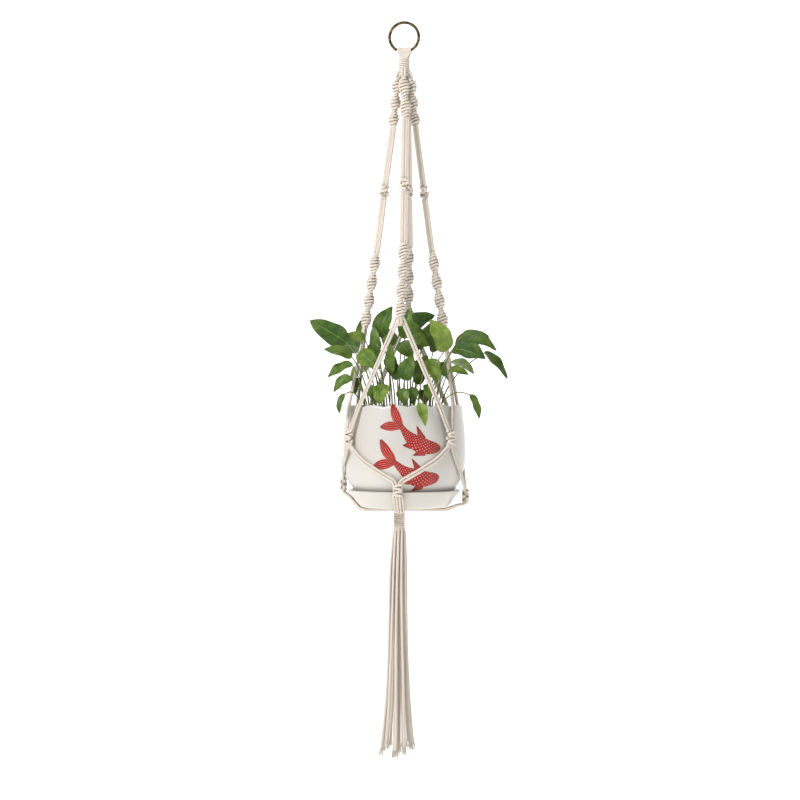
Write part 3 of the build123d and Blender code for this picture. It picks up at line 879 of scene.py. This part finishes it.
# pot, saucer, soil and fish
def turned(profile, columns, rise=None):
    # a profile of radius and height carried round the upright axis; rise gives each point's own lift
    azimuth = np.linspace(0, 360, columns, endpoint=False)
    points = polar(profile[:, 0, None], azimuth[None], profile[:, 1, None])
    if rise is not None:
        points[..., 2] += rise(profile[:, 1, None], azimuth[None]) * mm
    return loft(points)


def denseProfile(points, step):
    flat = np.array(points, float)
    line = smoothLine(np.c_[flat[:, 0], np.zeros(len(flat)), flat[:, 1]] * mm, step * mm) / mm
    return line[:, [0, 2]]


def rimRise(height, azimuth):  # shallow round lobes with tighter dips between them, fading out down the wall
    lobe = np.abs(np.cos(np.radians(azimuth * potLook["lobes"] / 2 + 20))) ** 0.55
    return -potLook["lobeDrop"] * (1 - lobe) * np.clip((height + 541) / 14, 0, 1)


def makePot():
    outer = denseProfile(potLook["outer"], 2.0)
    inner = denseProfile(potLook["inner"], 3.0)[::-1]
    turn = np.radians(np.linspace(0, 180, 9))[1:-1]
    half = (outer[-1, 0] - inner[0, 0]) / 2
    rim = outer[-1, 1]
    lipRadius = inner[0, 0] + half + half * np.cos(turn)
    lip = np.stack([lipRadius, rim + half * 0.9 * np.sin(turn) - half * 0.9], -1)
    outer = outer[outer[:, 1] < rim - half * 0.6]
    inner = inner[inner[:, 1] < -527 - half * 0.6]
    bottom = np.array([[10, -666.4], [46, -666.4], [48.5, -668.3], [52, -668.7]])
    profile = np.vstack([bottom, outer, lip, inner, [[30, -662], [6, -662]]])
    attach(makePiece("glazedPot", [turned(profile, 240, rimRise)], "pot", "pot"), "potted_plant")


def makeSaucer():
    under = ((6, -672.2), (52, -672.2), (55, -673), (58.5, -673), (61.6, -672.2), (64, -670.4),
             (68.6, -665.6), (73.6, -658.4), (79.0, -651.2))
    rim = ((80.0, -649.2), (80.1, -648.6), (79.2, -648.05), (78.3, -648.0), (77.3, -648.5))
    dish = ((74.4, -651.4), (68, -658), (62, -664.2), (58, -668), (56, -668.8), (52, -669), (8, -669))
    part = turned(np.array(under + rim + dish), 160)
    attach(makePiece("glazedSaucer", [part], "saucer", "saucer"), "hanger")


def makeSoil():
    # a disc whose top rises in small overlapping waves
    azimuth = np.linspace(0, 360, 120, endpoint=False)[None]
    reach = np.linspace(1.5, 79.0, 36)[:, None]
    top = polar(reach, azimuth, -545.0)
    x, y = top[..., 0] / mm, top[..., 1] / mm
    lumps = (np.sin(x * 0.31 + 1.3 * np.sin(y * 0.23)) * np.sin(y * 0.37 + 1.1 * np.sin(x * 0.19))
             + 0.5 * np.sin(x * 0.83 + y * 0.51) * np.sin(y * 0.79 - x * 0.33)
             + 0.3 * np.sin(x * 1.9 + y * 1.3) * np.sin(y * 1.7))
    top[..., 2] += (1.1 * lumps - 2.0 * smoothStep((reach - 66) / 12)) * mm
    under = polar(np.array([[77.5], [30.0], [2.0]]), azimuth, np.array([[-552.0], [-556.0], [-556.0]]))
    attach(makePiece("pottingSoil", [loft(np.vstack([top, under]))], "soil", "soil"), "potted_plant")


fishShape = {"upper": {"x": 26, "z": -573, "length": 78, "turn": -28, "bend": -11},
             "lower": {"x": 22, "z": -620, "length": 86, "turn": -18, "bend": -12}}


def ontoPot(x, z, raised):  # flat front coordinates wrapped on the pot's wall, raised by millimetres
    azimuth = np.degrees(x / 88.0)
    return polar(potRadius(z) + raised, azimuth, z)


def fishBlade(look, spine, width, lift, part):
    # a raised patch: across runs -1 to 1 over the width, and its height falls to the wall along both edges
    across = np.linspace(-1, 1, 25)[None]
    share = np.linspace(0, 1, len(spine))
    direction = unit(np.gradient(spine, axis=0))
    side = np.stack([-direction[:, 1], direction[:, 0]], -1)
    flat = spine[:, None] + side[:, None] * (width[:, None] * across)[..., None]
    turn = math.radians(look["turn"])
    x = look["x"] + flat[..., 0] * math.cos(turn) - flat[..., 1] * math.sin(turn)
    z = look["z"] + flat[..., 0] * math.sin(turn) + flat[..., 1] * math.cos(turn)
    taper = 0.35 + 0.65 * smoothStep(share / 0.12) * smoothStep((1 - share) / 0.12)
    high = lift * np.sqrt(np.clip(1 - across ** 2, 0, 1)) * taper[:, None]
    outer = ontoPot(x, z, 0.1 + high)
    innerSide = ontoPot(x[:, ::-1], z[:, ::-1], -0.5 + 0 * high)
    rings = np.concatenate([outer, innerSide[:, 1:-1]], 1)
    acrossAll = np.r_[across[0], across[0, ::-1][1:-1]]
    return loft(rings, share, {"across": np.abs(acrossAll)[None], "tailPart": np.full((1, 1), part)})


def makeFish():
    parts = []
    for look in fishShape.values():
        size = look["length"]
        t = np.linspace(0, 1, 60)
        body = np.stack([size * (t * 0.86 - 0.36), look["bend"] * np.sin(np.pi * t) - look["bend"] * 0.5], -1)
        towardHead = 0.32 + 0.68 * smoothStep(t / 0.55)
        roundHead = 0.10 + 0.90 * np.sqrt(1 - np.clip((t - 0.50) / 0.50, 0, 1) ** 1.7)
        width = size * 0.15 * np.minimum(towardHead, roundHead)
        parts.append(fishBlade(look, body, width, 1.25, 0.0))
        for tilt, reach in ((0.60, 0.42), (-0.42, 0.38)):
            run = np.linspace(0, 1, 24)
            back = -run * math.cos(tilt) - 0.04 * np.sin(np.pi * run)
            aside = run * math.sin(tilt) + 0.10 * np.sign(tilt) * run ** 2
            lobe = body[2] + size * reach * np.stack([back, aside], -1)
            wide = size * 0.085 * np.sin(np.pi * (0.10 + run * 0.86)) ** 0.8
            parts.append(fishBlade(look, lobe, wide, 0.9, 1.0))
        for place, tilt, reach in ((0.55, 2.45, 0.26), (0.70, -2.35, 0.22), (0.40, -2.65, 0.15)):
            run = np.linspace(0, 1, 18)
            at = int(place * (len(body) - 1))
            root = body[at] + np.array([0, np.sign(tilt) * width[at] * 0.7])
            fin = root + size * reach * np.stack([run * math.cos(tilt), run * math.sin(tilt)], -1)
            parts.append(fishBlade(look, fin, size * 0.075 * (1 - run) ** 0.8 + 0.2, 0.8, 1.0))
    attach(makePiece("raisedFish", parts, "fish", "fish_relief"), "potted_plant")


makePot()
makeSaucer()
makeSoil()
makeFish()
print("pot, saucer, soil and fish made")


# plant
# base point, tip point, width, where the stem leaves the soil, colour tone (0 dark to 1 pale)
leafTable = (
    ((-79, -27, -438), (-131, -36, -407), 35, (-38, -22), 0.05),
    ((-70, -38, -458), (-108, -52, -447), 20, (-46, -30), 0.25),
    ((-69, -47, -468), (-101, -62, -488), 22, (-52, -38), 0.30),
    ((-66, 26, -438), (-64, 34, -394), 16, (-30, 14), 0.45),
    ((-34, 2, -430), (-22, 6, -384), 32, (-17, 3), 0.12),
    ((8, 22, -412), (40, 28, -394), 27, (3, 12), 0.05),
    ((27, -8, -446), (0, -18, -408), 32, (15, -4), 0.22),
    ((62, -42, -452), (46, -48, -405), 36, (30, -26), 0.80),
    ((43, -14, -452), (43, -22, -416), 18, (32, -10), 0.08),
    ((74, -46, -448), (118, -58, -464), 36, (42, -32), 0.06),
    ((86, -34, -426), (136, -36, -447), 24, (46, -22), 0.15),
    ((116, -6, -451), (148, -12, -490), 20, (50, 12), 0.12),
    ((36, -46, -464), (54, -50, -494), 28, (24, -40), 0.55),
    ((68, -44, -478), (96, -56, -484), 16, (52, -32), 0.45),
    ((100, -62, -512), (112, -66, -546), 16, (44, -40), 0.28),
    ((-78, -62, -511), (-84, -68, -539), 14, (-50, -40), 0.20),
    ((-60, -34, -452), (-30, -50, -478), 28, (-44, -22), 0.42),
    ((-38, -26, -466), (-44, -30, -436), 30, (-22, -18), 0.15),
    ((-38, -6, -450), (-40, -8, -414), 20, (-28, -2), 0.35),
    ((-22, -60, -498), (-26, -68, -526), 26, (-14, -46), 0.50),
    ((-16, -32, -482), (-12, -40, -442), 18, (-10, -24), 0.30),
    ((4, -42, -492), (14, -52, -456), 28, (2, -34), 0.15),
    ((22, -30, -498), (32, -38, -462), 20, (14, -24), 0.25),
    ((29, -83, -524), (41, -91, -555), 16, (18, -54), 0.70),
    ((-2, -28, -438), (14, -36, -462), 26, (-6, -16), 0.15),
    ((16, -26, -428), (36, -30, -444), 22, (10, -18), 0.35),
    ((-20, -20, -458), (-8, -34, -488), 22, (-20, -4), 0.22),
    ((-42, -46, -500), (-36, -54, -522), 15, (-34, -40), 0.38),
    ((36, -52, -498), (44, -64, -520), 16, (30, -42), 0.30),
    ((-54, -14, -432), (-84, -20, -426), 18, (-34, -10), 0.50),
    ((48, 4, -468), (68, 10, -492), 22, (34, 14), 0.18),
    ((-76, -2, -488), (-104, 2, -506), 22, (-52, 2), 0.28),
    ((70, 47, -440), (118, 64, -430), 34, (34, 24), 0.10),
    ((62, 58, -464), (98, 88, -478), 24, (42, 38), 0.35),
    ((-68, 50, -446), (-112, 68, -436), 34, (-34, 26), 0.08),
    ((-60, 58, -470), (-88, 88, -492), 24, (-44, 40), 0.55),
    ((24, 30, -440), (44, 46, -406), 28, (12, 22), 0.20),
    ((-20, 30, -442), (-44, 44, -412), 28, (-10, 22), 0.30),
    ((10, 42, -484), (30, 54, -456), 26, (6, 34), 0.45),
    ((-12, 44, -488), (-34, 52, -462), 24, (-8, 36), 0.15),
    ((20, 54, -505), (26, 64, -526), 20, (14, 48), 0.40),
    ((0, 4, -432), (4, 8, -388), 24, (0, 2), 0.35),
    ((2, -54, -504), (7, -61, -528), 20, (6, -46), 0.30),
    ((16, -44, -502), (20, -52, -526), 17, (12, -38), 0.18),
    ((-62, -24, -488), (-70, -30, -512), 18, (-54, -14), 0.12),
)


leafShape = {"rows": 26, "columns": 17, "thick": 0.45}


def leafSurface(number, base, tip, width, tone):
    # a blade on a grid of along and across: a bowed midrib, sides folded up, a wavy edge and a pointed tip
    base, tip = np.array(base, float), np.array(tip, float)
    length = np.linalg.norm(tip - base)
    along = (tip - base) / length
    face = np.array([0.6 * base[0], -70.0 if base[1] < 20 else 60.0, 35.0])
    normal = unit(face - along * face.dot(along))
    across = np.cross(normal, along)
    u = np.linspace(0, 1, leafShape["rows"])[:, None]
    v = np.linspace(-1, 1, leafShape["columns"])[None]
    half = width / 2 * 2.3 * (u + 0.004) ** 0.45 * (1 - u) ** 0.8 * (1 + 0.05 * np.sin(u * 9 + number))
    bow = length * (0.10 + 0.03 * math.sin(number * 2.1)) * np.sin(np.pi * u) - length * 0.04 * u ** 2
    fold = (0.22 + 0.12 * math.sin(number * 1.7)) * half * np.abs(v) ** 1.15
    ripple = np.sin(u * 11 + number * 1.3 + np.sign(v) * 1.2)
    wave = 0.055 * width * ripple * np.abs(v) ** 2 * np.sin(np.pi * u)
    bend = 0.10 * length * math.sin(number * 2.9) * u ** 2
    spread = (v * half) * (1 - 0.12 * np.abs(v)) + bend
    top = (base + u[..., None] * length * along + spread[..., None] * across
           + (bow + fold + wave)[..., None] * normal)
    rings = np.concatenate([top, (top - leafShape["thick"] * normal)[:, ::-1][:, 1:-1]], 1) * mm
    part = loft(rings, u[:, 0], {"tone": tone * np.ones((1, 1))})
    flat = np.r_[v[0], v[0, ::-1][1:-1]] * 0.5 + 0.5
    # both faces of the blade share one across coordinate, so the midrib shows on each
    here = np.arange(len(flat))
    beside = np.roll(here, -1)
    corners = np.stack([here, beside, beside, here], -1)
    part["quadUv"][:, 0] = flat[np.tile(corners, (leafShape["rows"] - 1, 1)).ravel()]
    return part


def stemPath(base, tip, root):
    base, tip = np.array(base, float), np.array(tip, float)
    start = np.array([root[0], root[1], -548.0])
    end = base + unit(tip - base) * 1.5
    lean, lift = (0.24, 6) if base[2] > -500 else (0.05, 17)
    middle = (start + end) / 2 - np.array([(end - start)[0] * lean, (end - start)[1] * lean, -lift])
    control = 2 * middle - (start + end) / 2
    t = np.linspace(0, 1, 5)[:, None]
    curve = (1 - t) ** 2 * start + 2 * t * (1 - t) * control + t ** 2 * end
    return smoothLine(curve * mm, 3.0 * mm)


stemShape = {"radius": 1.0, "lay": 60.0, "sides": 8, "grooves": 0.05}


def makePlant():
    blades, stems = [], []
    for number, (base, tip, width, root, tone) in enumerate(leafTable):
        blades.append(leafSurface(number, base, tip, width, tone))
        path = stemPath(base, tip, root)
        share = lengthAlong(path) / lengthAlong(path)[-1]
        stems.append(cordSurface(path, (0.9, 0.3, 0.1), look=stemShape, widen=1.15 - 0.4 * share))
    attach(makePiece("plantLeaves", blades, "leaf", "leaves"), "potted_plant")
    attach(makePiece("plantStems", stems, "stem", "stems"), "potted_plant")


makePlant()
print("plant made")
